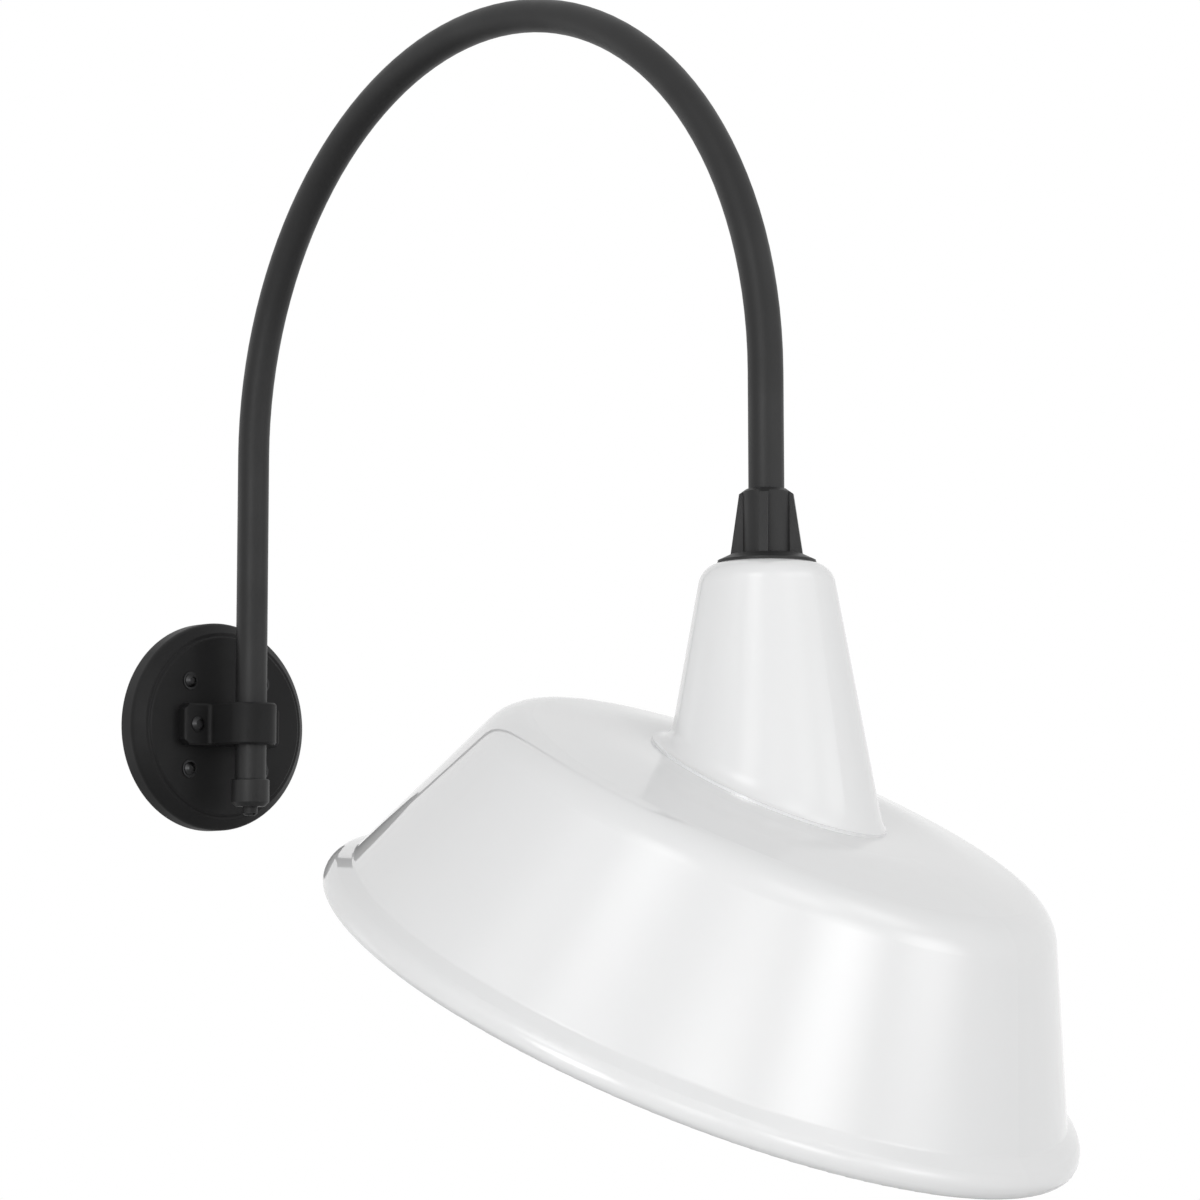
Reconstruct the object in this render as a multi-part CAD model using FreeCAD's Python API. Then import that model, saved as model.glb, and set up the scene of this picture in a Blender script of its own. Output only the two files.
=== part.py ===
import FreeCAD, Part
import math
import os

from FreeCAD import Matrix, Placement, Rotation, Vector

# Barn light: a gooseneck pipe on a round wall canopy carries an angled enamelled shade.
# Millimetres. Origin at the centre of the canopy's back, on the wall. +X out of the wall, +Z up.

# Pipe and gooseneck arm
pipe_diameter = 21.3
pipe_wall = 2.8
pipe_standoff = 50.5
arm_reach = 517.0
bend_centre_height = 183.8
wall_leg_drop = 51.0
shade_leg_drop = 95.0
wire_slot_height = 10.0
arm_swivel_degrees = 60.0
slot_margin_degrees = 29.0

# Canopy on the wall
canopy_diameter = 142.6
canopy_depth = 21.0
canopy_wall = 1.2
canopy_bevel_width = 7.1
canopy_bevel_depth = 6.2
canopy_groove_width = 2.2
canopy_face_rise = 2.0
canopy_face_slant = 0.8
canopy_side_round = 5.0
canopy_face_round = 1.6
canopy_groove_round = 1.0
canopy_screw_y = 29.7
canopy_screw_z = 30.0

# Gasket and mounting plate behind the canopy
gasket_depth = 3.0
gasket_width = 6.5
plate_radius = 56.0
plate_thickness = 3.0
plate_window_radius = 12.0
box_slot_spacing = 88.9
box_slot_length = 13.0
box_slot_radius = 2.4
ground_screw_drop = 40.0

# Cast bracket that takes the pipe
bracket_height = 28.3
bracket_ear_reach = 39.5
bracket_ear_depth = 9.0
bracket_ear_chamfer = 4.0
bracket_ear_round = 2.5
bracket_root_half_width = 19.2
bracket_root_round = 3.0
bracket_boss_radius = 16.2
bracket_screw_y = 29.5
bracket_edge_break = 1.2

# Fasteners: shank radius, head radius, head height
canopy_screw_shank = 2.5
canopy_screw_head = 4.6
canopy_screw_head_height = 2.6
canopy_washer_radius = 6.0
canopy_washer_thickness = 0.8
bracket_screw_shank = 3.0
bracket_screw_head = 5.0
bracket_screw_head_height = 3.0
ground_screw_shank = 2.0
ground_screw_head = 4.2
ground_screw_head_height = 2.4
ground_washer_radius = 5.0
ground_washer_thickness = 0.8
arm_set_screw_radius = 3.0
arm_set_screw_length = 6.0
hub_set_screw_radius = 2.2
hub_set_screw_length = 3.4
socket_across_share = 0.95
socket_depth_share = 0.55
head_crown_share = 0.45

# Cap at the foot of the wall-side leg
cap_radius = 12.9
cap_top_drop = 37.5
cap_bottom_drop = 56.0
cap_chamfer = 3.0
cap_rim_round = 1.2
plug_radius = 5.0
plug_height = 6.0
plug_edge = 1.4
plug_shank_radius = 3.2
plug_shank_length = 4.0
plug_slot_width = 1.6
plug_slot_depth = 1.4

# Ribbed hub on the shade-side leg; drops are below the bend centre
hub_top_drop = 69.9
hub_rib_top_drop = 73.1
hub_rib_foot_drop = 108.6
hub_bottom_drop = 110.6
hub_radius = 14.0
hub_top_radius = 11.4
hub_rib_top_radius = 16.0
hub_rib_foot_radius = 21.2
hub_rib_width = 5.3
hub_rib_count = 4
hub_rib_first_degrees = 42.0
hub_flange_radius = 28.9
hub_flange_edge = 0.9
hub_set_screw_drop = 84.0
hub_gasket_thickness = 0.8
hub_gasket_lip = 0.3

# Clamping stack inside the neck's top
nipple_radius = 9.5
nipple_bore_radius = 7.0
nipple_grip = 13.0
nipple_tail = 2.0
strap_thickness = 1.6
strap_width = 24.0
strap_leg_length = 38.4
strap_bend = 3.0
washer_thickness = 0.9
washer_radius = 15.0
nut_across_flats = 27.0
nut_thickness = 5.0
nut_chamfer = 1.0

# Neck of the shade
shade_wall = 1.5
neck_top_radius = 37.8
neck_top_round = 15.0
neck_crown_degrees = 15.0
neck_half_angle = 10.4
foot_curl_height = 10.5
foot_curl_high_reach = 11.3
foot_curl_low_reach = 1.0
foot_land = 1.2
foot_curl_shares = (0.0, 0.2, 0.4, 0.6, 0.8, 0.95)
collar_rise = 14.0
collar_flange = 6.0

# Reflector, measured along its own axis from the plane through its lip
shade_tilt_degrees = 25.44
shade_turn_degrees = 15.44
rim_drop = 371.0
rim_offset = 45.4
lip_radius = 235.8
lip_bottom = 7.3
lip_shoulder = 4.2
lip_shoulder_round = 11.5
lip_bottom_round = 5.0
lip_return = 14.5
lip_return_round = 5.0
lip_return_height = 9.0
lip_corner_height = 13.25
lip_corner_round = 4.0
skirt_half_angle = 24.7
shoulder_corner_radius = 171.2
shoulder_corner_height = 125.8
shoulder_round = 30.0
top_height = 134.8
top_flat_radius = 108.0
top_round = 240.0

# Lampholder
socket_top_gap = 12.4
socket_length = 54.0
socket_head_radius = 24.0
socket_head_length = 24.0
socket_skirt_radius = 20.5
socket_edge = 2.0
socket_cavity_radius = 14.4
socket_cavity_depth = 31.0
shell_radius = 13.3
shell_wall = 0.5
shell_length = 26.0
shell_rise = 2.0
contact_radius = 4.5
contact_thickness = 0.8
contact_drop = 2.6
contact_foot_reach = 9.0
contact_width = 5.0
terminal_y = 14.0
terminal_radius = 3.4
terminal_head_height = 2.4
terminal_shank_radius = 1.7
terminal_shank_length = 7.0
terminal_slot_width = 0.9
terminal_slot_depth = 1.0
strap_screw_head = 3.2
strap_screw_head_height = 2.0
strap_screw_shank = 1.7
strap_screw_length = 7.0
strap_screw_rise = 6.0

# Wires
lead_radius = 1.4
lead_bend = 5.0
lead_spread = 2.3
lead_lift = 0.9
ground_lead_drop = 2.5
lead_plane = 11.5
lead_reach_into_pipe = 5.0
lead_splay_y = 15.0
lead_splay_z = 9.0
connector_base_z = 22.0
connector_length = 24.0
connector_base_radius = 6.5
connector_tip_radius = 4.0
connector_entry = 8.0
connector_edge = 1.0
ground_lead_turn_z = 16.0
cable_radius = 3.2
cable_start = 7.0
cable_end_gap = 2.0
socket_lead_radius = 1.2
socket_lead_bend_share = 0.75
socket_lead_start_gap = 1.5
grommet_radius = 6.6
grommet_bore_radius = 4.3
grommet_depth = 3.2
grommet_groove = 0.8
wire_passage_radius = 5.0

# Named clearances and the overrun that every cut uses
running_clearance = 0.05
thread_clearance = 0.05
seat_gap = 0.3
overrun = 2.0

# Worked-out sizes
pipe_radius = pipe_diameter / 2
pipe_bore = pipe_radius - pipe_wall
bend_radius = arm_reach / 2
canopy_radius = canopy_diameter / 2
shade_leg_x = pipe_standoff + arm_reach
bracket_front = canopy_depth + bracket_ear_depth
tilt = math.radians(shade_tilt_degrees)
neck_slope = math.tan(math.radians(neck_half_angle))
neck_crown_slope = math.tan(math.radians(neck_crown_degrees))
strap_flat_reach = washer_radius + seat_gap
neck_flat_radius = math.hypot(strap_flat_reach, strap_width / 2) + seat_gap
skirt_slope = math.tan(math.radians(skirt_half_angle))


def drop_z(drop):
    return bend_centre_height - drop


hub_bottom_z = drop_z(hub_bottom_drop)
neck_top_z = hub_bottom_z - hub_gasket_thickness
strap_top_z = neck_top_z - shade_wall
washer_top_z = strap_top_z - strap_thickness
nut_top_z = washer_top_z - washer_thickness
nut_bottom_z = nut_top_z - nut_thickness
socket_top_z = nut_bottom_z - socket_top_gap
socket_bottom_z = socket_top_z - socket_length
rim_z = drop_z(rim_drop)
foot_z = rim_z + (top_height - rim_offset * math.sin(tilt)) / math.cos(tilt)
neck_foot_radius = neck_top_radius + neck_slope * (neck_top_z - foot_z)

X_AXIS = Vector(1, 0, 0)
Y_AXIS = Vector(0, 1, 0)
Z_AXIS = Vector(0, 0, 1)
UPRIGHT = Rotation()
LEAN = Rotation(Z_AXIS, shade_turn_degrees) * Rotation(Y_AXIS, shade_tilt_degrees)


# Outlines
def corner_cut(before, corner, after, radius):
    """Tangent points and middle of the arc that rounds a corner."""
    back = (before - corner).normalize()
    ahead = (after - corner).normalize()
    half = back.getAngle(ahead) / 2
    reach = radius / math.tan(half)
    middle = (back + ahead).normalize()
    centre = corner + middle * (radius / math.sin(half))
    return corner + back * reach, centre - middle * radius, corner + ahead * reach


def rounded_edges(points, rounds, closed=False):
    """Straight runs between the points, joined by tangent arcs of the given radii."""
    count = len(points)
    stops = []
    for i, point in enumerate(points):
        inside = closed or 0 < i < count - 1
        if inside and rounds[i] > 0:
            stops.append(corner_cut(points[i - 1], point, points[(i + 1) % count], rounds[i]))
        else:
            stops.append((point, None, point))
    edges = []
    for i, (start, middle, end) in enumerate(stops):
        if middle is not None:
            edges.append(Part.Arc(start, middle, end).toShape())
        if closed or i < count - 1:
            following = stops[(i + 1) % count][0]
            edges.append(Part.LineSegment(end, following).toShape())
    return edges


def section(pairs):
    """Points of an outline in the XZ plane from radius and height pairs."""
    return [Vector(radius, 0, height) for radius, height in pairs]


def shifted(points, wall):
    """The outline moved sideways by one wall, to the right of its direction."""
    normals = []
    for start, end in zip(points, points[1:]):
        run = (end - start).normalize()
        normals.append(Vector(run.z, 0, -run.x))
    moved = [points[0] + normals[0] * wall]
    for i in range(1, len(points) - 1):
        across = normals[i - 1] + normals[i]
        moved.append(points[i] + across * (2 * wall / across.dot(across)))
    moved.append(points[-1] + normals[-1] * wall)
    return moved


def shifted_rounds(points, rounds, wall):
    """Radii of the moved outline's corners, so that the wall stays even."""
    result = [0]
    for i in range(1, len(points) - 1):
        before = points[i] - points[i - 1]
        after = points[i + 1] - points[i]
        inner = before.cross(after).y > 0
        result.append(max(rounds[i] - wall, 0) if inner else rounds[i] + wall)
    return result + [0]


def sheet_section(pairs, rounds, wall):
    """Section of a sheet of even thickness, to the right of the outline's direction."""
    outer = section(pairs)
    inner = shifted(outer, wall)
    edges = rounded_edges(outer, rounds)
    edges += rounded_edges(inner, shifted_rounds(outer, rounds, wall))
    edges.append(Part.LineSegment(outer[0], inner[0]).toShape())
    edges.append(Part.LineSegment(outer[-1], inner[-1]).toShape())
    return Part.Face(Part.Wire(Part.__sortEdges__(edges)))


def turned_wall(pairs, rounds, wall):
    return sheet_section(pairs, rounds, wall).revolve(Vector(), Z_AXIS, 360)


def turned(pairs, rounds=None):
    """Solid turned about Z from a closed outline."""
    points = section(pairs)
    edges = rounded_edges(points, rounds or [0] * len(points), closed=True)
    return Part.Face(Part.Wire(Part.__sortEdges__(edges))).revolve(Vector(), Z_AXIS, 360)


def cylinder(radius, start, end, x=0, y=0):
    return Part.makeCylinder(radius, end - start, Vector(x, y, start))


def ring(outer, inner, start, end):
    return cylinder(outer, start, end).cut(cylinder(inner, start - overrun, end + overrun))


def out_of_wall(shape, x=0, y=0, z=0):
    """Turns a shape's own +Z to +X, out of the wall, and moves it to a place."""
    turned_shape = shape.copy()
    turned_shape.Placement = Placement(Vector(x, y, z), Rotation(Z_AXIS, X_AXIS))
    return turned_shape


def at(shape, x=0, y=0, z=0, rotation=UPRIGHT):
    moved = shape.copy()
    moved.Placement = Placement(Vector(x, y, z), rotation)
    return moved


def tube(points, rounds, radius):
    """Round wire along straight runs and tangent arcs."""
    path = Part.Wire(rounded_edges(points, rounds))
    start = Part.Circle(points[0], points[1] - points[0], radius).toShape()
    solid = path.makePipeShell([Part.Wire(start)], True, False)
    length = path.Length
    drift = abs(solid.Volume / (math.pi * radius ** 2 * length) - 1)
    smallest = min(r for r in rounds if r > 0)
    print(f"wire length {length:.1f}, smallest bend {smallest:.1f}, volume drift {drift:.5f}")
    return solid


# Fasteners
def hexagon(across, start, end):
    corner = across / math.sqrt(3)
    points = []
    for i in range(6):
        angle = math.radians(60 * i)
        points.append(Vector(corner * math.cos(angle), corner * math.sin(angle), start))
    face = Part.Face(Part.makePolygon(points + points[:1]))
    return face.extrude(Vector(0, 0, end - start))


def button_screw(shank, head, head_height, length):
    """Low crowned head with a six-sided drive, seated at Z zero, shank below it."""
    crown = head * head_crown_share
    outline = [(0, -length), (shank, -length), (shank, 0), (head, 0), (head, head_height - crown),
               (head - crown, head_height), (0, head_height)]
    solid = turned(outline)
    drive = hexagon(shank * 2 * socket_across_share, head_height * (1 - socket_depth_share),
                    head_height + overrun)
    return solid.cut(drive)


def slotted_screw(shank, head, head_height, length, slot_width, slot_depth):
    solid = turned([(0, -length), (shank, -length), (shank, 0), (head, 0), (head, head_height),
                    (0, head_height)])
    slot = Part.makeBox(2 * (head + overrun), slot_width, slot_depth + overrun,
                        Vector(-head - overrun, -slot_width / 2, head_height - slot_depth))
    return solid.cut(slot)


def grub_screw(radius, length):
    """Headless screw from Z zero up, with its drive in the far end."""
    solid = cylinder(radius, 0, length)
    drive = hexagon(radius * socket_across_share, length * (1 - socket_depth_share), length + overrun)
    return solid.cut(drive)


# Wall side
def canopy_screw_places():
    places = []
    for y in (-canopy_screw_y, canopy_screw_y):
        for z in (-canopy_screw_z, canopy_screw_z):
            places.append((y, z))
    return places


def drilled(shape, places, radius, start, end):
    for y, z in places:
        shape = shape.cut(out_of_wall(cylinder(radius, start, end), 0, y, z))
    return shape


def bracket_screw_places():
    return [(-bracket_screw_y, 0), (bracket_screw_y, 0)]


def make_canopy():
    groove_outer = canopy_radius - canopy_bevel_width
    groove_inner = groove_outer - canopy_groove_width
    groove_depth = canopy_depth - canopy_face_rise
    outline = [(wire_passage_radius + grommet_groove, canopy_depth),
               (groove_inner - canopy_face_slant, canopy_depth), (groove_inner, groove_depth),
               (groove_outer, groove_depth), (canopy_radius, groove_depth - canopy_bevel_depth),
               (canopy_radius, 0)]
    rounds = [0, canopy_face_round, canopy_groove_round, canopy_groove_round, canopy_side_round, 0]
    shell = out_of_wall(turned_wall(outline, rounds, canopy_wall))
    inside = canopy_depth - canopy_wall - overrun
    outside = canopy_depth + overrun
    shell = drilled(shell, canopy_screw_places(), canopy_screw_shank + thread_clearance, inside, outside)
    return drilled(shell, bracket_screw_places(), bracket_screw_shank + thread_clearance, inside, outside)


def make_wall_gasket():
    outer = canopy_radius - canopy_wall - seat_gap
    return out_of_wall(ring(outer, outer - gasket_width, 0, gasket_depth))


def box_slot(y):
    reach = box_slot_length / 2 - box_slot_radius
    slot = Part.makeBox(plate_thickness + 2 * overrun, 2 * reach, 2 * box_slot_radius,
                        Vector(-overrun, y - reach, -box_slot_radius))
    for end in (y - reach, y + reach):
        hole = cylinder(box_slot_radius, -overrun, plate_thickness + overrun)
        slot = slot.fuse(out_of_wall(hole, 0, end, 0))
    return slot.removeSplitter()


def make_mounting_plate():
    plate = out_of_wall(ring(plate_radius, plate_window_radius, 0, plate_thickness))
    for y in (-box_slot_spacing / 2, box_slot_spacing / 2):
        plate = plate.cut(box_slot(y))
    front = plate_thickness + overrun
    plate = drilled(plate, canopy_screw_places(), canopy_screw_shank + thread_clearance, -overrun, front)
    plate = drilled(plate, bracket_screw_places(), bracket_screw_shank + thread_clearance, -overrun, front)
    return drilled(plate, [(0, -ground_screw_drop)], ground_screw_shank + thread_clearance, -overrun, front)


def make_canopy_screws():
    seat = canopy_depth + canopy_washer_thickness
    screw = button_screw(canopy_screw_shank, canopy_screw_head, canopy_screw_head_height, seat)
    return Part.makeCompound([out_of_wall(screw, seat, y, z) for y, z in canopy_screw_places()])


def make_canopy_washers():
    washer = ring(canopy_washer_radius, canopy_screw_shank + thread_clearance, 0, canopy_washer_thickness)
    return Part.makeCompound([out_of_wall(washer, canopy_depth, y, z) for y, z in canopy_screw_places()])


def bracket_plan():
    """Outline of the casting seen from above: two ears and the boss round the pipe."""
    tip = pipe_standoff + bracket_boss_radius
    half = [(canopy_depth, -bracket_ear_reach, 0), (bracket_front, -bracket_ear_reach, bracket_ear_round),
            (bracket_front, -bracket_root_half_width, bracket_root_round),
            (tip, -bracket_boss_radius, bracket_boss_radius)]
    whole = half + [(x, -y, r) for x, y, r in reversed(half)]
    points = [Vector(x, y, -bracket_height / 2) for x, y, r in whole]
    edges = rounded_edges(points, [r for x, y, r in whole], closed=True)
    return Part.Face(Part.Wire(Part.__sortEdges__(edges)))


def bracket_front_view():
    """Prism that chamfers the outer corners of the ears."""
    reach = bracket_ear_reach
    half = bracket_height / 2
    cut = bracket_ear_chamfer
    corners = [(-reach, -half + cut), (-reach + cut, -half), (reach - cut, -half), (reach, -half + cut),
               (reach, half - cut), (reach - cut, half), (-reach + cut, half), (-reach, half - cut)]
    points = [Vector(0, y, z) for y, z in corners]
    face = Part.Face(Part.makePolygon(points + points[:1]))
    return face.extrude(Vector(pipe_standoff + bracket_boss_radius + overrun, 0, 0))


def make_arm_bracket():
    body = bracket_plan().extrude(Vector(0, 0, bracket_height))
    front_edges = []
    for edge in body.Edges:
        box = edge.BoundBox
        if box.ZLength < bracket_edge_break and box.XMin > canopy_depth + bracket_edge_break:
            front_edges.append(edge)
    body = body.makeChamfer(bracket_edge_break, front_edges)
    body = body.common(bracket_front_view())
    bore = cylinder(pipe_radius + running_clearance, -bracket_height, bracket_height, pipe_standoff)
    body = body.cut(bore)
    body = body.cut(out_of_wall(cylinder(wire_passage_radius, canopy_depth - overrun, pipe_standoff)))
    body = drilled(body, bracket_screw_places(), bracket_screw_shank + thread_clearance,
                   canopy_depth - overrun, bracket_front + overrun)
    hole = cylinder(arm_set_screw_radius + thread_clearance, 0, bracket_boss_radius + overrun * 2)
    return body.cut(at(hole, pipe_standoff, 0, 0, Rotation(Z_AXIS, Y_AXIS)))


def make_bracket_screws():
    screw = button_screw(bracket_screw_shank, bracket_screw_head, bracket_screw_head_height, bracket_front)
    return Part.makeCompound([out_of_wall(screw, bracket_front, y, z) for y, z in bracket_screw_places()])


def make_arm_set_screw():
    screw = grub_screw(arm_set_screw_radius, arm_set_screw_length)
    return at(screw, pipe_standoff, pipe_radius + seat_gap, 0, Rotation(Z_AXIS, Y_AXIS))


def make_ground_screw():
    seat = plate_thickness + ground_washer_thickness
    screw = slotted_screw(ground_screw_shank, ground_screw_head, ground_screw_head_height, seat,
                          terminal_slot_width, terminal_slot_depth)
    return out_of_wall(screw, seat, 0, -ground_screw_drop)


def make_ground_terminal():
    washer = ring(ground_washer_radius, ground_screw_shank + thread_clearance, 0, ground_washer_thickness)
    return out_of_wall(washer, plate_thickness, 0, -ground_screw_drop)


def make_canopy_grommet():
    """Rubber bush in the canopy's hole, with a groove that grips the sheet."""
    back = canopy_depth - grommet_depth
    sheet_back = canopy_depth - canopy_wall
    outline = [(grommet_bore_radius, back), (grommet_radius, back), (grommet_radius, sheet_back),
               (wire_passage_radius + grommet_groove, sheet_back),
               (wire_passage_radius + grommet_groove, canopy_depth), (grommet_bore_radius, canopy_depth)]
    return out_of_wall(turned(outline))


def make_wire_connectors():
    top = connector_base_z + connector_length
    outline = [(0, connector_base_z), (connector_base_radius, connector_base_z),
               (connector_base_radius, connector_base_z + connector_entry),
               (connector_tip_radius, top - connector_edge), (connector_tip_radius - connector_edge, top),
               (0, top)]
    cone = turned(outline)
    cone = cone.cut(cylinder(lead_radius + thread_clearance, connector_base_z - overrun,
                             connector_base_z + connector_entry))
    return Part.makeCompound([at(cone, lead_plane, y, 0) for y in (-lead_splay_y, lead_splay_y)])


def make_fixture_leads():
    leads = []
    inner_x = pipe_standoff - pipe_radius + lead_reach_into_pipe
    for side in (-1, 1):
        points = [Vector(inner_x, side * lead_spread, lead_lift),
                  Vector(lead_plane, side * lead_spread, lead_lift),
                  Vector(lead_plane, side * lead_splay_y, lead_splay_z),
                  Vector(lead_plane, side * lead_splay_y, connector_base_z + connector_entry)]
        leads.append(tube(points, [0, lead_bend, lead_bend, 0], lead_radius))
    return Part.makeCompound(leads)


def make_ground_lead():
    inner_x = pipe_standoff - pipe_radius + lead_reach_into_pipe
    rest_x = plate_thickness + lead_radius
    points = [Vector(inner_x, 0, -ground_lead_drop), Vector(lead_plane, 0, -ground_lead_drop),
              Vector(rest_x, 0, -ground_lead_turn_z),
              Vector(rest_x, 0, -ground_screw_drop + ground_washer_radius)]
    return tube(points, [0, lead_bend, lead_bend, 0], lead_radius)


# Arm
def arm_path(radius, leg_start, leg_end):
    """Up one leg, over the half circle and down the other."""
    middle_x = pipe_standoff + bend_radius
    left = Vector(middle_x - radius, 0, bend_centre_height)
    right = Vector(middle_x + radius, 0, bend_centre_height)
    top = Vector(middle_x, 0, bend_centre_height + radius)
    up = Part.LineSegment(Vector(left.x, 0, leg_start), left).toShape()
    over = Part.Arc(left, top, right).toShape()
    down = Part.LineSegment(right, Vector(right.x, 0, leg_end)).toShape()
    return Part.Wire([up, over, down])


def swept(path, radius):
    start = path.Vertexes[0].Point
    circle = Part.Wire(Part.Circle(start, Z_AXIS, radius).toShape())
    return path.makePipeShell([circle], True, False)


def wire_slot():
    """Sector of a ring through the pipe's wall, open to the wires over the whole swivel."""
    half = arm_swivel_degrees + slot_margin_degrees
    sector = Part.makeCylinder(pipe_radius + overrun, wire_slot_height,
                               Vector(pipe_standoff, 0, -wire_slot_height / 2), Z_AXIS, 2 * half)
    sector.rotate(Vector(pipe_standoff, 0, 0), Z_AXIS, 180 - half)
    return sector.cut(cylinder(pipe_bore - pipe_wall, -wire_slot_height, wire_slot_height, pipe_standoff))


def make_gooseneck_arm():
    path = arm_path(bend_radius, -wall_leg_drop, drop_z(shade_leg_drop))
    pipe = swept(path, pipe_radius).cut(swept(path, pipe_bore))
    return pipe.cut(wire_slot())


def make_lamp_cable():
    """Cable that lies against the inner side of the pipe's bore."""
    aside = pipe_bore - cable_radius - seat_gap
    path = arm_path(bend_radius - aside, cable_start, drop_z(shade_leg_drop) + cable_end_gap)
    print(f"lamp cable length {path.Length:.1f}")
    return swept(path, cable_radius)


def make_arm_end_cap():
    outline = [(0, -cap_bottom_drop), (cap_radius - cap_chamfer, -cap_bottom_drop),
               (cap_radius, -cap_bottom_drop + cap_chamfer), (cap_radius, -cap_top_drop), (0, -cap_top_drop)]
    body = turned(outline, [0, 0, 0, cap_rim_round, 0])
    body = body.cut(cylinder(pipe_radius + thread_clearance, -wall_leg_drop, -cap_top_drop + overrun))
    body = body.cut(cylinder(plug_shank_radius + thread_clearance, -cap_bottom_drop - overrun,
                             -wall_leg_drop + overrun))
    return at(body, pipe_standoff)


def make_cap_plug():
    plug = turned([(0, -plug_height), (plug_radius - plug_edge, -plug_height),
                   (plug_radius, -plug_height + plug_edge), (plug_radius, 0), (plug_shank_radius, 0),
                   (plug_shank_radius, plug_shank_length), (0, plug_shank_length)])
    slot = Part.makeBox(2 * (plug_radius + overrun), plug_slot_width, plug_slot_depth + overrun,
                        Vector(-plug_radius - overrun, -plug_slot_width / 2, -plug_height - overrun))
    return at(plug.cut(slot), pipe_standoff, 0, -cap_bottom_drop)


# Hub and clamping stack
def at_neck(shape):
    return at(shape, shade_leg_x)


def crown_fall(radius):
    """How far the neck's sloping top, and what lies on it, has dropped at a radius."""
    return neck_crown_slope * (radius - neck_flat_radius)


def hub_cone_z(radius):
    """Height of the cone that ends the hub's body and its ribs at the top."""
    fallen_share = (radius - hub_top_radius) / (hub_rib_top_radius - hub_top_radius)
    return drop_z(hub_top_drop + fallen_share * (hub_rib_top_drop - hub_top_drop))


def hub_rib():
    top = drop_z(hub_top_drop)
    outline = [(0, hub_bottom_z), (hub_rib_foot_radius, hub_bottom_z),
               (hub_rib_foot_radius, drop_z(hub_rib_foot_drop)),
               (hub_rib_top_radius, hub_cone_z(hub_rib_top_radius)), (hub_top_radius, top), (0, top)]
    points = [Vector(radius, -hub_rib_width / 2, height) for radius, height in outline]
    face = Part.Face(Part.makePolygon(points + points[:1]))
    return face.extrude(Vector(0, hub_rib_width, 0))


def make_hub():
    top = drop_z(hub_top_drop)
    flange_top = drop_z(hub_rib_foot_drop)
    rim = hub_bottom_z - crown_fall(hub_flange_radius)
    body = turned([(0, hub_bottom_z), (neck_flat_radius, hub_bottom_z), (hub_flange_radius, rim),
                   (hub_flange_radius, rim + hub_flange_edge), (hub_rib_foot_radius, flange_top),
                   (hub_radius, flange_top), (hub_radius, hub_cone_z(hub_radius)), (hub_top_radius, top),
                   (0, top)])
    for i in range(hub_rib_count):
        angle = hub_rib_first_degrees + 360 * i / hub_rib_count
        body = body.fuse(at(hub_rib(), 0, 0, 0, Rotation(Z_AXIS, angle)))
    shelf = drop_z(shade_leg_drop) - seat_gap
    body = body.removeSplitter().cut(cylinder(pipe_radius + running_clearance, shelf, top + overrun))
    body = body.cut(cylinder(nipple_radius + thread_clearance, hub_bottom_z - overrun, shelf + overrun))
    hole = cylinder(hub_set_screw_radius + thread_clearance, 0, hub_radius + overrun)
    body = body.cut(at(hole, 0, 0, drop_z(hub_set_screw_drop), Rotation(Z_AXIS, Y_AXIS)))
    return at_neck(body)


def make_hub_set_screw():
    screw = grub_screw(hub_set_screw_radius, hub_set_screw_length)
    return at(screw, shade_leg_x, pipe_radius + seat_gap, drop_z(hub_set_screw_drop),
              Rotation(Z_AXIS, Y_AXIS))


def make_hub_gasket():
    """Dished rubber ring between the hub's hollow flange and the neck's sloping top."""
    edge = hub_flange_radius + hub_gasket_lip
    bore = nipple_radius + thread_clearance
    return at_neck(turned([(bore, neck_top_z), (neck_flat_radius, neck_top_z),
                           (edge, neck_top_z - crown_fall(edge)), (edge, hub_bottom_z - crown_fall(edge)),
                           (neck_flat_radius, hub_bottom_z), (bore, hub_bottom_z)]))


def make_threaded_nipple():
    return at_neck(ring(nipple_radius, nipple_bore_radius, nut_bottom_z - nipple_tail,
                        hub_bottom_z + nipple_grip))


def make_lock_washer():
    return at_neck(ring(washer_radius, nipple_radius + thread_clearance, nut_top_z, washer_top_z))


def make_lock_nut():
    nut = hexagon(nut_across_flats, nut_bottom_z, nut_top_z)
    corner = nut_across_flats / math.sqrt(3)
    cone = turned([(0, nut_bottom_z), (corner - nut_chamfer, nut_bottom_z),
                   (corner, nut_bottom_z + nut_chamfer), (corner, nut_top_z), (0, nut_top_z)])
    bore = cylinder(nipple_radius + thread_clearance, nut_bottom_z - overrun, nut_top_z + overrun)
    return at_neck(nut.common(cone).cut(bore))


# Lampholder
def make_socket_strap():
    """Bent metal strap: it follows the neck's top, and its legs hold the lampholder's head."""
    outside = socket_head_radius + seat_gap + strap_thickness
    floor = strap_top_z - strap_leg_length
    shoulder = strap_top_z - neck_crown_slope * (outside - strap_flat_reach)
    outline = [(-outside, floor), (-outside, shoulder), (-strap_flat_reach, strap_top_z),
               (strap_flat_reach, strap_top_z), (outside, shoulder), (outside, floor)]
    side = sheet_section(outline, [0, strap_bend, 0, 0, strap_bend, 0], strap_thickness)
    strap = side.extrude(Vector(0, strap_width, 0))
    strap.translate(Vector(0, -strap_width / 2, 0))
    strap = strap.cut(cylinder(nipple_radius + thread_clearance, floor, strap_top_z + overrun))
    hole = cylinder(strap_screw_shank + thread_clearance, -outside - overrun, outside + overrun)
    return at_neck(strap.cut(at(hole, 0, 0, strap_screw_z(), Rotation(Z_AXIS, X_AXIS))))


def strap_screw_z():
    return strap_top_z - strap_leg_length + strap_screw_rise


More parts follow.
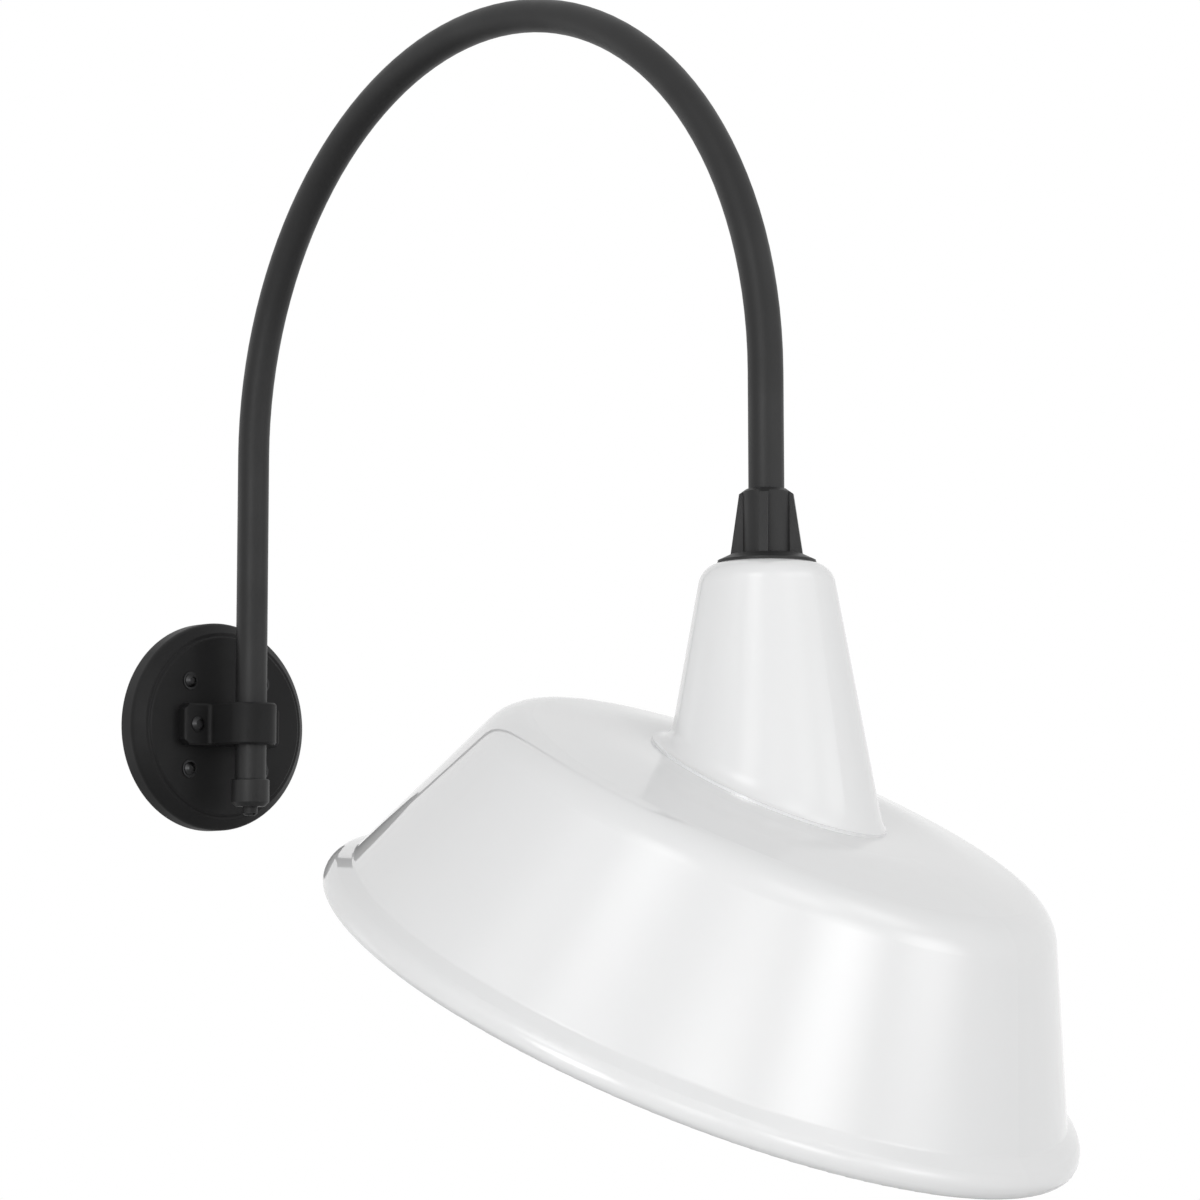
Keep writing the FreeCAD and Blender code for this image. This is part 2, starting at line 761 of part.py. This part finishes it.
def make_strap_screws():
    seat = socket_head_radius + seat_gap + strap_thickness
    screw = slotted_screw(strap_screw_shank, strap_screw_head, strap_screw_head_height, strap_screw_length,
                          terminal_slot_width, terminal_slot_depth)
    screws = []
    for side in (-1, 1):
        facing = Rotation(Z_AXIS, X_AXIS * side)
        screws.append(at(screw, shade_leg_x + side * seat, 0, strap_screw_z(), facing))
    return Part.makeCompound(screws)


def make_socket_body():
    head_bottom = socket_top_z - socket_head_length
    body = turned([(0, socket_bottom_z), (socket_skirt_radius, socket_bottom_z),
                   (socket_skirt_radius, head_bottom), (socket_head_radius, head_bottom + socket_edge),
                   (socket_head_radius, socket_top_z), (0, socket_top_z)],
                  [0, socket_edge, 0, 0, socket_edge, 0])
    cavity_top = socket_bottom_z + socket_cavity_depth
    body = body.cut(cylinder(socket_cavity_radius, socket_bottom_z - overrun, cavity_top))
    for y in (-terminal_y, terminal_y):
        body = body.cut(cylinder(terminal_shank_radius + thread_clearance,
                                 socket_top_z - terminal_shank_length, socket_top_z + overrun, 0, y))
    for side in (-1, 1):
        depth = strap_screw_length + overrun
        hole = cylinder(strap_screw_shank + thread_clearance, 0, depth)
        place = side * (socket_head_radius + overrun)
        body = body.cut(at(hole, place, 0, strap_screw_z(), Rotation(Z_AXIS, X_AXIS * -side)))
    return at_neck(body)


def shell_outer():
    return shell_radius + shell_wall


def make_screw_shell():
    """Threaded shell with a flat foot that closes the ring and seats on the cavity's end."""
    start = socket_bottom_z + shell_rise
    top = socket_bottom_z + socket_cavity_depth
    tube_part = ring(shell_outer(), shell_radius, start, start + shell_length)
    foot = ring(shell_outer(), contact_foot_reach + thread_clearance * 2, start + shell_length, top)
    return at_neck(tube_part.fuse(foot).removeSplitter())


def make_centre_contact():
    """Spring tongue: a foot on the cavity's end and a raised button for the lamp's tip."""
    top = socket_bottom_z + socket_cavity_depth
    foot = Part.makeBox(contact_foot_reach, contact_width, contact_thickness,
                        Vector(-contact_foot_reach / 2, -contact_width / 2, top - contact_thickness))
    post = Part.makeBox(contact_thickness, contact_width, contact_drop,
                        Vector(-contact_foot_reach / 2, -contact_width / 2, top - contact_drop))
    button = cylinder(contact_radius, top - contact_drop, top - contact_drop + contact_thickness)
    return at_neck(foot.fuse(post).fuse(button).removeSplitter())


def make_terminal_screws():
    screw = slotted_screw(terminal_shank_radius, terminal_radius, terminal_head_height,
                          terminal_shank_length, terminal_slot_width, terminal_slot_depth)
    return Part.makeCompound([at(screw, shade_leg_x, y, socket_top_z) for y in (-terminal_y, terminal_y)])


def make_socket_leads():
    leads = []
    start_z = drop_z(shade_leg_drop) - socket_lead_start_gap
    turn_z = (nut_bottom_z - nipple_tail + socket_top_z + terminal_head_height) / 2
    end_z = socket_top_z + terminal_head_height
    inner = nipple_bore_radius - socket_lead_radius - seat_gap
    for side in (-1, 1):
        points = [Vector(shade_leg_x, side * inner, start_z), Vector(shade_leg_x, side * inner, turn_z),
                  Vector(shade_leg_x, side * terminal_y, turn_z),
                  Vector(shade_leg_x, side * terminal_y, end_z)]
        bend = socket_lead_bend_share * (turn_z - end_z)
        leads.append(tube(points, [0, bend, bend, 0], socket_lead_radius))
    return Part.makeCompound(leads)


# Shade
def on_reflector(shape):
    """Places a shape made about the reflector's own axis, lip plane at Z zero."""
    turn = Rotation(Z_AXIS, shade_turn_degrees)
    back = turn.multVec(Vector(-rim_offset, 0, 0))
    return at(shape, shade_leg_x + back.x, back.y, rim_z, LEAN)


def on_top(shape):
    """Places a shape made about the point where the neck's axis meets the reflector's flat top."""
    return at(shape, shade_leg_x, 0, foot_z, LEAN)


def cone_section(height, wall):
    """Half sizes and shift of the neck's tilted section at a height above the reflector's top."""
    radius = neck_foot_radius - neck_slope * height * math.cos(tilt) - wall / math.cos(math.atan(neck_slope))
    spread = math.cos(tilt) ** 2 - (neck_slope * math.sin(tilt)) ** 2
    shift = (radius * neck_slope - height * math.cos(tilt)) * math.sin(tilt) / spread
    along = math.sqrt((radius ** 2 - (height * math.sin(tilt)) ** 2) / spread + shift ** 2)
    return along, math.sqrt(spread) * along, shift


def curl_height(turned_share, wall):
    """Height over the top where the neck's edge has curled outward by a share of a quarter turn."""
    return shade_wall + foot_curl_height - (foot_curl_height + wall) * math.sin(math.pi / 2 * turned_share)


def foot_wire(turned_share, wall, land=0):
    """Section of the neck's foot, an ellipse that grows and moves as the edge curls outward."""
    turn = math.pi / 2 * turned_share
    height = curl_height(turned_share, wall)
    along, across, shift = cone_section(height, wall)
    curled_share = 1 - math.cos(turn)
    grow = ((foot_curl_high_reach + foot_curl_low_reach) / 2 + wall) * curled_share + land
    move = (foot_curl_high_reach - foot_curl_low_reach) / 2 * curled_share
    squeeze = Matrix()
    squeeze.scale(along + grow, across + grow, 1)
    circle = Part.Wire(Part.Circle(Vector(), Z_AXIS, 1).toShape()).transformGeometry(squeeze)
    circle.translate(Vector(shift - move, 0, height))
    return circle


def foot_curl(wall, land, bottom):
    """Solid inside one side of the curled sheet, with a flat edge of its own down to the bottom."""
    curl = Part.makeLoft([foot_wire(share, wall) for share in foot_curl_shares], True, False)
    end_share = foot_curl_shares[-1]
    edge = Part.Face(foot_wire(end_share, wall, land))
    return curl.fuse(edge.extrude(Vector(0, 0, bottom - curl_height(end_share, wall))))


def above_curl():
    """Half space above the foot's curl, as a box larger than the neck."""
    size = 2 * (neck_top_z - foot_z + neck_foot_radius)
    return on_top(Part.makeBox(2 * size, 2 * size, size, Vector(-size, -size, shade_wall + foot_curl_height)))


def make_shade_neck():
    low = foot_z - neck_foot_radius
    low_radius = neck_top_radius + neck_slope * (neck_top_z - low)
    both_slopes = neck_slope * neck_crown_slope
    corner = (neck_top_radius - both_slopes * neck_flat_radius) / (1 - both_slopes)
    outline = [(nipple_radius + thread_clearance, neck_top_z), (neck_flat_radius, neck_top_z),
               (corner, neck_top_z - crown_fall(corner)), (low_radius, low)]
    cone = turned_wall(outline, [0, 0, neck_top_round, 0], shade_wall)
    cone = at_neck(cone).common(above_curl())
    curl = foot_curl(0, foot_land, 0).cut(foot_curl(shade_wall, 0, -overrun))
    return cone.fuse(on_top(curl)).removeSplitter()


def collar_shift():
    return cone_section(collar_rise, shade_wall)[2]


def collar_radius():
    """The ring's wall stands just inside the neck, at the sides where the neck's section is narrowest."""
    return cone_section(collar_rise, shade_wall)[1] - seat_gap


def make_shade_collar():
    """Joining ring: its wall stands in the reflector's hole and the neck, its flange lies under the sheet."""
    radius = collar_radius()
    floor = -2 * shade_wall
    wall = ring(radius, radius - shade_wall, floor, collar_rise)
    flange = ring(radius + collar_flange, radius - shade_wall, floor, -shade_wall)
    body = wall.fuse(flange).removeSplitter()
    body.translate(Vector(collar_shift(), 0, 0))
    return on_top(body)


def reflector_outline():
    """Outer side of the sheet from the top's inner edge over the shoulder to the rolled lip."""
    lip_corner = shoulder_corner_radius + skirt_slope * (shoulder_corner_height - lip_corner_height)
    outline = [(collar_radius() / 2, top_height), (top_flat_radius, top_height),
               (shoulder_corner_radius, shoulder_corner_height), (lip_corner, lip_corner_height),
               (lip_radius, lip_shoulder), (lip_radius, -lip_bottom), (lip_radius - lip_return, -lip_bottom),
               (lip_radius - lip_return, -lip_bottom + lip_return_height)]
    rounds = [0, top_round, shoulder_round, lip_corner_round, lip_shoulder_round, lip_bottom_round,
              lip_return_round, 0]
    return outline, rounds


def make_reflector():
    outline, rounds = reflector_outline()
    bowl = on_reflector(turned_wall(outline, rounds, shade_wall))
    hole = cylinder(collar_radius() + running_clearance, -shade_wall - overrun, overrun)
    hole.translate(Vector(collar_shift(), 0, 0))
    return bowl.cut(on_top(hole))


NODES = {
    "canopy": make_canopy,
    "wall_gasket": make_wall_gasket,
    "mounting_plate": make_mounting_plate,
    "canopy_screws": make_canopy_screws,
    "canopy_washers": make_canopy_washers,
    "arm_bracket": make_arm_bracket,
    "bracket_screws": make_bracket_screws,
    "arm_set_screw": make_arm_set_screw,
    "ground_screw": make_ground_screw,
    "ground_terminal": make_ground_terminal,
    "canopy_grommet": make_canopy_grommet,
    "wire_connectors": make_wire_connectors,
    "fixture_leads": make_fixture_leads,
    "ground_lead": make_ground_lead,
    "gooseneck_arm": make_gooseneck_arm,
    "lamp_cable": make_lamp_cable,
    "arm_end_cap": make_arm_end_cap,
    "cap_plug": make_cap_plug,
    "hub": make_hub,
    "hub_set_screw": make_hub_set_screw,
    "hub_gasket": make_hub_gasket,
    "threaded_nipple": make_threaded_nipple,
    "lock_washer": make_lock_washer,
    "lock_nut": make_lock_nut,
    "socket_strap": make_socket_strap,
    "strap_screws": make_strap_screws,
    "socket_body": make_socket_body,
    "screw_shell": make_screw_shell,
    "centre_contact": make_centre_contact,
    "terminal_screws": make_terminal_screws,
    "socket_leads": make_socket_leads,
    "shade_neck": make_shade_neck,
    "shade_collar": make_shade_collar,
    "reflector": make_reflector,
}


def main():
    os.makedirs("parts", exist_ok=True)
    for name, make in NODES.items():
        shape = make()
        print(f"{name}: {len(shape.Solids)} solid, valid {shape.isValid()}, {shape.Volume / 1000:.2f} cm3")
        shape.exportStep(f"parts/{name}.step")


main()
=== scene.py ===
import math

import bpy
from mathutils import Matrix, Vector

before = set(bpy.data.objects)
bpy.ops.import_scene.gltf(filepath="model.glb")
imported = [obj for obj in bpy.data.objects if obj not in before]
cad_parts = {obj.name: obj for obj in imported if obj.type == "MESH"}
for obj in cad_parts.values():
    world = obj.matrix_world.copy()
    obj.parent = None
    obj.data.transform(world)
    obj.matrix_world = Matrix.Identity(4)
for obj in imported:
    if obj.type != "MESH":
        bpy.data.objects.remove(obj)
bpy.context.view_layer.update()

PHOTO_SIDE = 1200

# Camera: place in metres, angles in degrees, focal length and image centre in pixels of the photo,
# and the sensor in millimetres
CAMERA_PLACE = Vector((2.2794, -1.5926, -0.1641))
CAMERA_YAW = 47.948
CAMERA_PITCH = 7.462
CAMERA_ROLL = -0.274
CAMERA_FOCAL_PX = 3992.7
CAMERA_CENTRE_PX = (105.2, -158.1)
SENSOR = 36.0

# Studio: metres, and for each lamp its degrees round the object, degrees above the horizon and brightness
AIM = Vector((0.3955, -0.01, 0.02))
FLOOR_LEVEL = -0.95
FLOOR_RADIUS = 3.2
FLOOR_FADE_START = 1.2
FLOOR_COLOUR = (0.80, 0.80, 0.80, 1.0)
FLOOR_ROUGHNESS = 0.9
FLOOR_GLOSS = 0.1
FLOOR_RIM_POINTS = 96
SKY_AT_HORIZON = 0.75
SKY_OVERHEAD = 0.30
SKY_SEEN_DIRECTLY = 1.0
LAMP_DISTANCE = 2.6
LAMP_SIDE = 1.7
SOFT_LAMPS = {
    "left_key": (27, 6, 6.3),
    "left_high": (30, 35, 2.2),
    "left_front_high": (0, 35, 0.5),
    "far_left": (-60, 5, 0.6),
    "front": (60, 5, 1.5),
    "right": (90, 5, 2.5),
    "right_high": (90, 35, 1.0),
    "far_right": (120, 5, 2.0),
    "far_right_high": (120, 35, 1.1),
}

# Finishes: depths in metres, and clouds, waves, grains and scratches by roughly how many fit in a metre.
# A span is how far the roughness varies
ENAMEL_CLOUD = 7.0
ENAMEL_WAVE = 9.0
ENAMEL_WAVE_DEPTH = 0.0004
ENAMEL_GRAIN = 420.0
ENAMEL_GRAIN_DEPTH = 0.000004
ENAMEL_GLOSS = 0.8
ENAMEL_ROUGHNESS = 0.05
ENAMEL_ROUGHNESS_SPAN = 0.025
ENAMEL_LIGHT = (0.80, 0.80, 0.80)
ENAMEL_DARK = (0.785, 0.79, 0.795)
PAINT_CLOUD = 30.0
PAINT_GRAIN = 1400.0
PAINT_GRAIN_DEPTH = 0.00006
METAL_CLOUD = 140.0
METAL_SCRATCHES = 900.0
METAL_SCRATCH_DEPTH = 0.00001
PLASTIC_CLOUD = 60.0
PLASTIC_GRAIN = 900.0
PLASTIC_GRAIN_DEPTH = 0.00002
METAL_ROUGHNESS_SPAN = 0.14
OTHER_ROUGHNESS_SPAN = 0.1

# Each finish: its two colours and its least roughness, and for paints its gloss
PAINTS = {
    "black_powder_coat": ((0.014, 0.014, 0.0143), (0.009, 0.009, 0.0093), 0.42, 0.33),
    # A darker, less glossy copy of the black paint: painted shade for the canopy and bracket
    "shaded_powder_coat": ((0.0105, 0.0105, 0.0108), (0.007, 0.007, 0.0072), 0.46, 0.18),
}
METALS = {
    "black_screws": ((0.05, 0.05, 0.052), (0.03, 0.03, 0.03), 0.32),
    "zinc_steel": ((0.62, 0.63, 0.64), (0.50, 0.51, 0.53), 0.30),
    "green_zinc": ((0.10, 0.34, 0.16), (0.07, 0.26, 0.12), 0.34),
    "brass": ((0.78, 0.57, 0.27), (0.68, 0.48, 0.22), 0.25),
    "nickel_brass": ((0.66, 0.63, 0.57), (0.57, 0.54, 0.48), 0.24),
}
PLASTICS = {
    "black_rubber": ((0.014, 0.014, 0.014), (0.022, 0.022, 0.022), 0.62),
    "porcelain": ((0.80, 0.79, 0.76), (0.76, 0.75, 0.71), 0.12),
    "black_wire": ((0.016, 0.016, 0.017), (0.025, 0.025, 0.026), 0.42),
    "green_wire": ((0.03, 0.24, 0.07), (0.02, 0.19, 0.05), 0.40),
    "connector_plastic": ((0.62, 0.20, 0.03), (0.55, 0.17, 0.03), 0.38),
}

# Nodes given a darker, less glossy copy of the pipe's black paint: painted shade on the wall side,
# standing in for the darker tone it gets from how the light falls, though the canopy and bracket wear the
# same paint as the pipe
PAINTED_SHADE_FINISHES = {"canopy": "shaded_powder_coat", "arm_bracket": "shaded_powder_coat"}


# Node helpers
def new_material(name, **values):
    """A material with one Principled shader, whose uniform values are set on its own sockets."""
    made = bpy.data.materials.new(name)
    made.use_nodes = True
    shader = made.node_tree.nodes["Principled BSDF"]
    for socket, value in values.items():
        shader.inputs[socket.replace("_", " ")].default_value = value
    return made, made.node_tree, shader


def add_node(tree, kind, **values):
    """A new node, with each value set on its setting of that name or else on its input."""
    node = tree.nodes.new(kind)
    for name, value in values.items():
        if hasattr(node, name):
            setattr(node, name, value)
        else:
            node.inputs[name.replace("_", " ")].default_value = value
    return node


def object_place(tree):
    """Places on the piece in metres."""
    return add_node(tree, "ShaderNodeTexCoord").outputs["Object"]


def noise(tree, place, per_metre, detail=2.0, roughness=0.5):
    found = add_node(tree, "ShaderNodeTexNoise", Scale=per_metre, Detail=detail, Roughness=roughness)
    tree.links.new(place, found.inputs["Vector"])
    return found.outputs["Fac"]


def spread(tree, source, low, high, start=0.3, end=0.7):
    """A number from low to high as the source goes from start to end."""
    ramp = add_node(tree, "ShaderNodeMapRange", From_Min=start, From_Max=end, To_Min=low, To_Max=high)
    tree.links.new(source, ramp.inputs["Value"])
    return ramp.outputs["Result"]


def blend_colours(tree, factor, first, second):
    mix = tree.nodes.new("ShaderNodeMix")
    mix.data_type = "RGBA"
    mix.inputs["A"].default_value = (*first, 1)
    mix.inputs["B"].default_value = (*second, 1)
    tree.links.new(factor, mix.inputs["Factor"])
    return mix.outputs["Result"]


def bump(tree, heights, shader):
    """Stacks bumps given as (height source, depth in metres)."""
    below = None
    for source, depth in heights:
        made = add_node(tree, "ShaderNodeBump", Distance=depth)
        tree.links.new(source, made.inputs["Height"])
        if below is not None:
            tree.links.new(below, made.inputs["Normal"])
        below = made.outputs["Normal"]
    tree.links.new(below, shader.inputs["Normal"])


def colour_and_roughness(tree, shader, cloud, first, second, roughness, span):
    """Colour and roughness both follow the cloud, the roughness over the span given."""
    tree.links.new(blend_colours(tree, cloud, first, second), shader.inputs["Base Color"])
    tree.links.new(spread(tree, cloud, roughness, roughness + span), shader.inputs["Roughness"])


# Materials
def white_enamel():
    """Glossy white with a slow wave in its surface and a very fine grain."""
    made, tree, shader = new_material("white_enamel", Specular_IOR_Level=ENAMEL_GLOSS)
    place = object_place(tree)
    cloud = noise(tree, place, ENAMEL_CLOUD, detail=3.0)
    fine = noise(tree, place, ENAMEL_GRAIN)
    wave = noise(tree, place, ENAMEL_WAVE, detail=1.0)
    colour_and_roughness(tree, shader, cloud, ENAMEL_LIGHT, ENAMEL_DARK,
                         ENAMEL_ROUGHNESS, ENAMEL_ROUGHNESS_SPAN)
    bump(tree, [(wave, ENAMEL_WAVE_DEPTH), (fine, ENAMEL_GRAIN_DEPTH)], shader)
    return made


def powder_coat(name, first, second, roughness, gloss):
    """Black paint with a fine orange-peel grain."""
    made, tree, shader = new_material(name, Specular_IOR_Level=gloss)
    place = object_place(tree)
    grain = noise(tree, place, PAINT_GRAIN, detail=3.0, roughness=0.6)
    cloud = noise(tree, place, PAINT_CLOUD, detail=3.0)
    colour_and_roughness(tree, shader, cloud, first, second, roughness, OTHER_ROUGHNESS_SPAN)
    bump(tree, [(grain, PAINT_GRAIN_DEPTH)], shader)
    return made


def plain_metal(name, first, second, roughness):
    made, tree, shader = new_material(name, Metallic=1.0)
    place = object_place(tree)
    cloud = noise(tree, place, METAL_CLOUD, detail=4.0)
    colour_and_roughness(tree, shader, cloud, first, second, roughness, METAL_ROUGHNESS_SPAN)
    bump(tree, [(noise(tree, place, METAL_SCRATCHES), METAL_SCRATCH_DEPTH)], shader)
    return made


def plain_plastic(name, first, second, roughness):
    """Plastic, rubber and porcelain, told apart by colour and roughness."""
    made, tree, shader = new_material(name)
    place = object_place(tree)
    cloud = noise(tree, place, PLASTIC_CLOUD, detail=3.0)
    colour_and_roughness(tree, shader, cloud, first, second, roughness, OTHER_ROUGHNESS_SPAN)
    bump(tree, [(noise(tree, place, PLASTIC_GRAIN), PLASTIC_GRAIN_DEPTH)], shader)
    return made


def all_materials():
    made = {"white_enamel": white_enamel()}
    for make, table in ((powder_coat, PAINTS), (plain_metal, METALS), (plain_plastic, PLASTICS)):
        for name, values in table.items():
            made[name] = make(name, *values)
    return made


# Camera, floor, world and lights
def camera_axes():
    yaw, pitch, roll = (math.radians(a) for a in (CAMERA_YAW, CAMERA_PITCH, CAMERA_ROLL))
    forward = Vector((-math.sin(yaw) * math.cos(pitch), math.cos(yaw) * math.cos(pitch), math.sin(pitch)))
    level_right = Vector((math.cos(yaw), math.sin(yaw), 0))
    level_up = level_right.cross(forward)
    right = level_right * math.cos(roll) + level_up * math.sin(roll)
    up = level_up * math.cos(roll) - level_right * math.sin(roll)
    return right, up, forward


def make_camera():
    right, up, forward = camera_axes()
    data = bpy.data.cameras.new("photo_camera")
    data.sensor_width = SENSOR
    data.lens = CAMERA_FOCAL_PX / PHOTO_SIDE * SENSOR
    data.shift_x = -CAMERA_CENTRE_PX[0] / PHOTO_SIDE
    data.shift_y = CAMERA_CENTRE_PX[1] / PHOTO_SIDE
    camera = bpy.data.objects.new("photo_camera", data)
    turn = Matrix((right, up, -forward)).transposed()
    camera.matrix_world = Matrix.Translation(CAMERA_PLACE) @ turn.to_4x4()
    bpy.context.scene.collection.objects.link(camera)
    bpy.context.scene.camera = camera


def direction(azimuth, elevation):
    """Where a place lies from the object: azimuth 0 is towards -Y and 90 towards +X."""
    a, e = math.radians(azimuth), math.radians(elevation)
    return Vector((math.sin(a) * math.cos(e), -math.cos(a) * math.cos(e), math.sin(e)))


def fade_to_edges(data, brightness):
    """The lamp is brightest in its middle and fades out smoothly towards its four edges."""
    data.use_nodes = True
    tree = data.node_tree
    across = add_node(tree, "ShaderNodeSeparateXYZ")
    place = add_node(tree, "ShaderNodeNewGeometry")
    tree.links.new(place.outputs["Parametric"], across.inputs["Vector"])
    middle = 0.5
    total = None
    for axis in "XY":
        wave = add_node(tree, "ShaderNodeMath", operation="PINGPONG")
        wave.inputs[1].default_value = middle
        tree.links.new(across.outputs[axis], wave.inputs[0])
        soft = add_node(tree, "ShaderNodeMapRange", interpolation_type="SMOOTHSTEP", From_Max=middle)
        tree.links.new(wave.outputs["Value"], soft.inputs["Value"])
        if total is None:
            total = soft.outputs["Result"]
        else:
            product = add_node(tree, "ShaderNodeMath", operation="MULTIPLY")
            tree.links.new(total, product.inputs[0])
            tree.links.new(soft.outputs["Result"], product.inputs[1])
            total = product.outputs["Value"]
    tree.links.new(total, tree.nodes["Emission"].inputs["Strength"])
    data.energy = brightness * math.pi * data.size ** 2


def make_soft_lamp(name, azimuth, elevation, brightness):
    data = bpy.data.lights.new(name, "AREA")
    data.shape = "SQUARE"
    data.size = LAMP_SIDE
    fade_to_edges(data, brightness)
    lamp = bpy.data.objects.new(name, data)
    away = direction(azimuth, elevation)
    turn = away.to_track_quat("Z", "Y").to_matrix().to_4x4()
    lamp.matrix_world = Matrix.Translation(AIM + away * LAMP_DISTANCE) @ turn
    bpy.context.scene.collection.objects.link(lamp)


def seen_directly(tree):
    """One where a camera, glossy or transmission ray meets the surface, and zero elsewhere."""
    path = tree.nodes.new("ShaderNodeLightPath")
    total = path.outputs["Is Camera Ray"]
    for ray in ("Is Glossy Ray", "Is Transmission Ray"):
        add = add_node(tree, "ShaderNodeMath", operation="ADD", use_clamp=True)
        tree.links.new(total, add.inputs[0])
        tree.links.new(path.outputs[ray], add.inputs[1])
        total = add.outputs["Value"]
    return total


def make_world():
    world = bpy.data.worlds.new("studio")
    world.use_nodes = True
    tree = world.node_tree
    shade = tree.nodes["Background"]
    shade.inputs["Color"].default_value = (1, 1, 1, 1)
    way = add_node(tree, "ShaderNodeTexCoord")
    ray = add_node(tree, "ShaderNodeSeparateXYZ")
    tree.links.new(way.outputs["Generated"], ray.inputs["Vector"])
    sky = spread(tree, ray.outputs["Z"], SKY_AT_HORIZON, SKY_OVERHEAD, 0.0, 1.0)
    mix = add_node(tree, "ShaderNodeMix")
    tree.links.new(seen_directly(tree), mix.inputs["Factor"])
    tree.links.new(sky, mix.inputs["A"])
    mix.inputs["B"].default_value = SKY_SEEN_DIRECTLY
    tree.links.new(mix.outputs["Result"], shade.inputs["Strength"])
    bpy.context.scene.world = world


def floor_material():
    """Pale floor that fades into the white background towards its edge."""
    made, tree, shader = new_material("floor_paper", Base_Color=FLOOR_COLOUR, Roughness=FLOOR_ROUGHNESS,
                                      Specular_IOR_Level=FLOOR_GLOSS)
    place = add_node(tree, "ShaderNodeTexCoord")
    reach = add_node(tree, "ShaderNodeVectorMath", operation="LENGTH")
    tree.links.new(place.outputs["Object"], reach.inputs[0])
    fade = add_node(tree, "ShaderNodeMapRange", interpolation_type="SMOOTHSTEP",
                    From_Min=FLOOR_FADE_START, From_Max=FLOOR_RADIUS)
    tree.links.new(reach.outputs["Value"], fade.inputs["Value"])
    part = add_node(tree, "ShaderNodeMath", operation="MULTIPLY")
    tree.links.new(fade.outputs["Result"], part.inputs[0])
    tree.links.new(seen_directly(tree), part.inputs[1])
    white = add_node(tree, "ShaderNodeEmission")
    mix = add_node(tree, "ShaderNodeMixShader")
    tree.links.new(part.outputs["Value"], mix.inputs["Fac"])
    tree.links.new(shader.outputs["BSDF"], mix.inputs[1])
    tree.links.new(white.outputs["Emission"], mix.inputs[2])
    tree.links.new(mix.outputs["Shader"], tree.nodes["Material Output"].inputs["Surface"])
    return made


def make_floor():
    turns = [2 * math.pi * i / FLOOR_RIM_POINTS for i in range(FLOOR_RIM_POINTS)]
    points = [(FLOOR_RADIUS * math.cos(turn), FLOOR_RADIUS * math.sin(turn), 0) for turn in turns]
    mesh = bpy.data.meshes.new("floor")
    mesh.from_pydata(points, [], [range(FLOOR_RIM_POINTS)])
    mesh.materials.append(floor_material())
    floor = bpy.data.objects.new("floor", mesh)
    floor.location = (AIM.x, AIM.y, FLOOR_LEVEL)
    bpy.context.scene.collection.objects.link(floor)


def dress_nodes(finishes):
    """Gives each CAD node the finish of its slot, or for the canopy and bracket the darker copy of the
    black paint, which is painted shade.
    """
    for node_name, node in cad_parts.items():
        for slot in node.material_slots:
            slot_name = slot.material.name.split(".")[0]
            slot.material = finishes[PAINTED_SHADE_FINISHES.get(node_name, slot_name)]


dress_nodes(all_materials())
make_camera()
make_world()
make_floor()
for lamp_name, lamp_values in SOFT_LAMPS.items():
    make_soft_lamp(lamp_name, *lamp_values)

bpy.context.scene.view_settings.view_transform = "Standard"
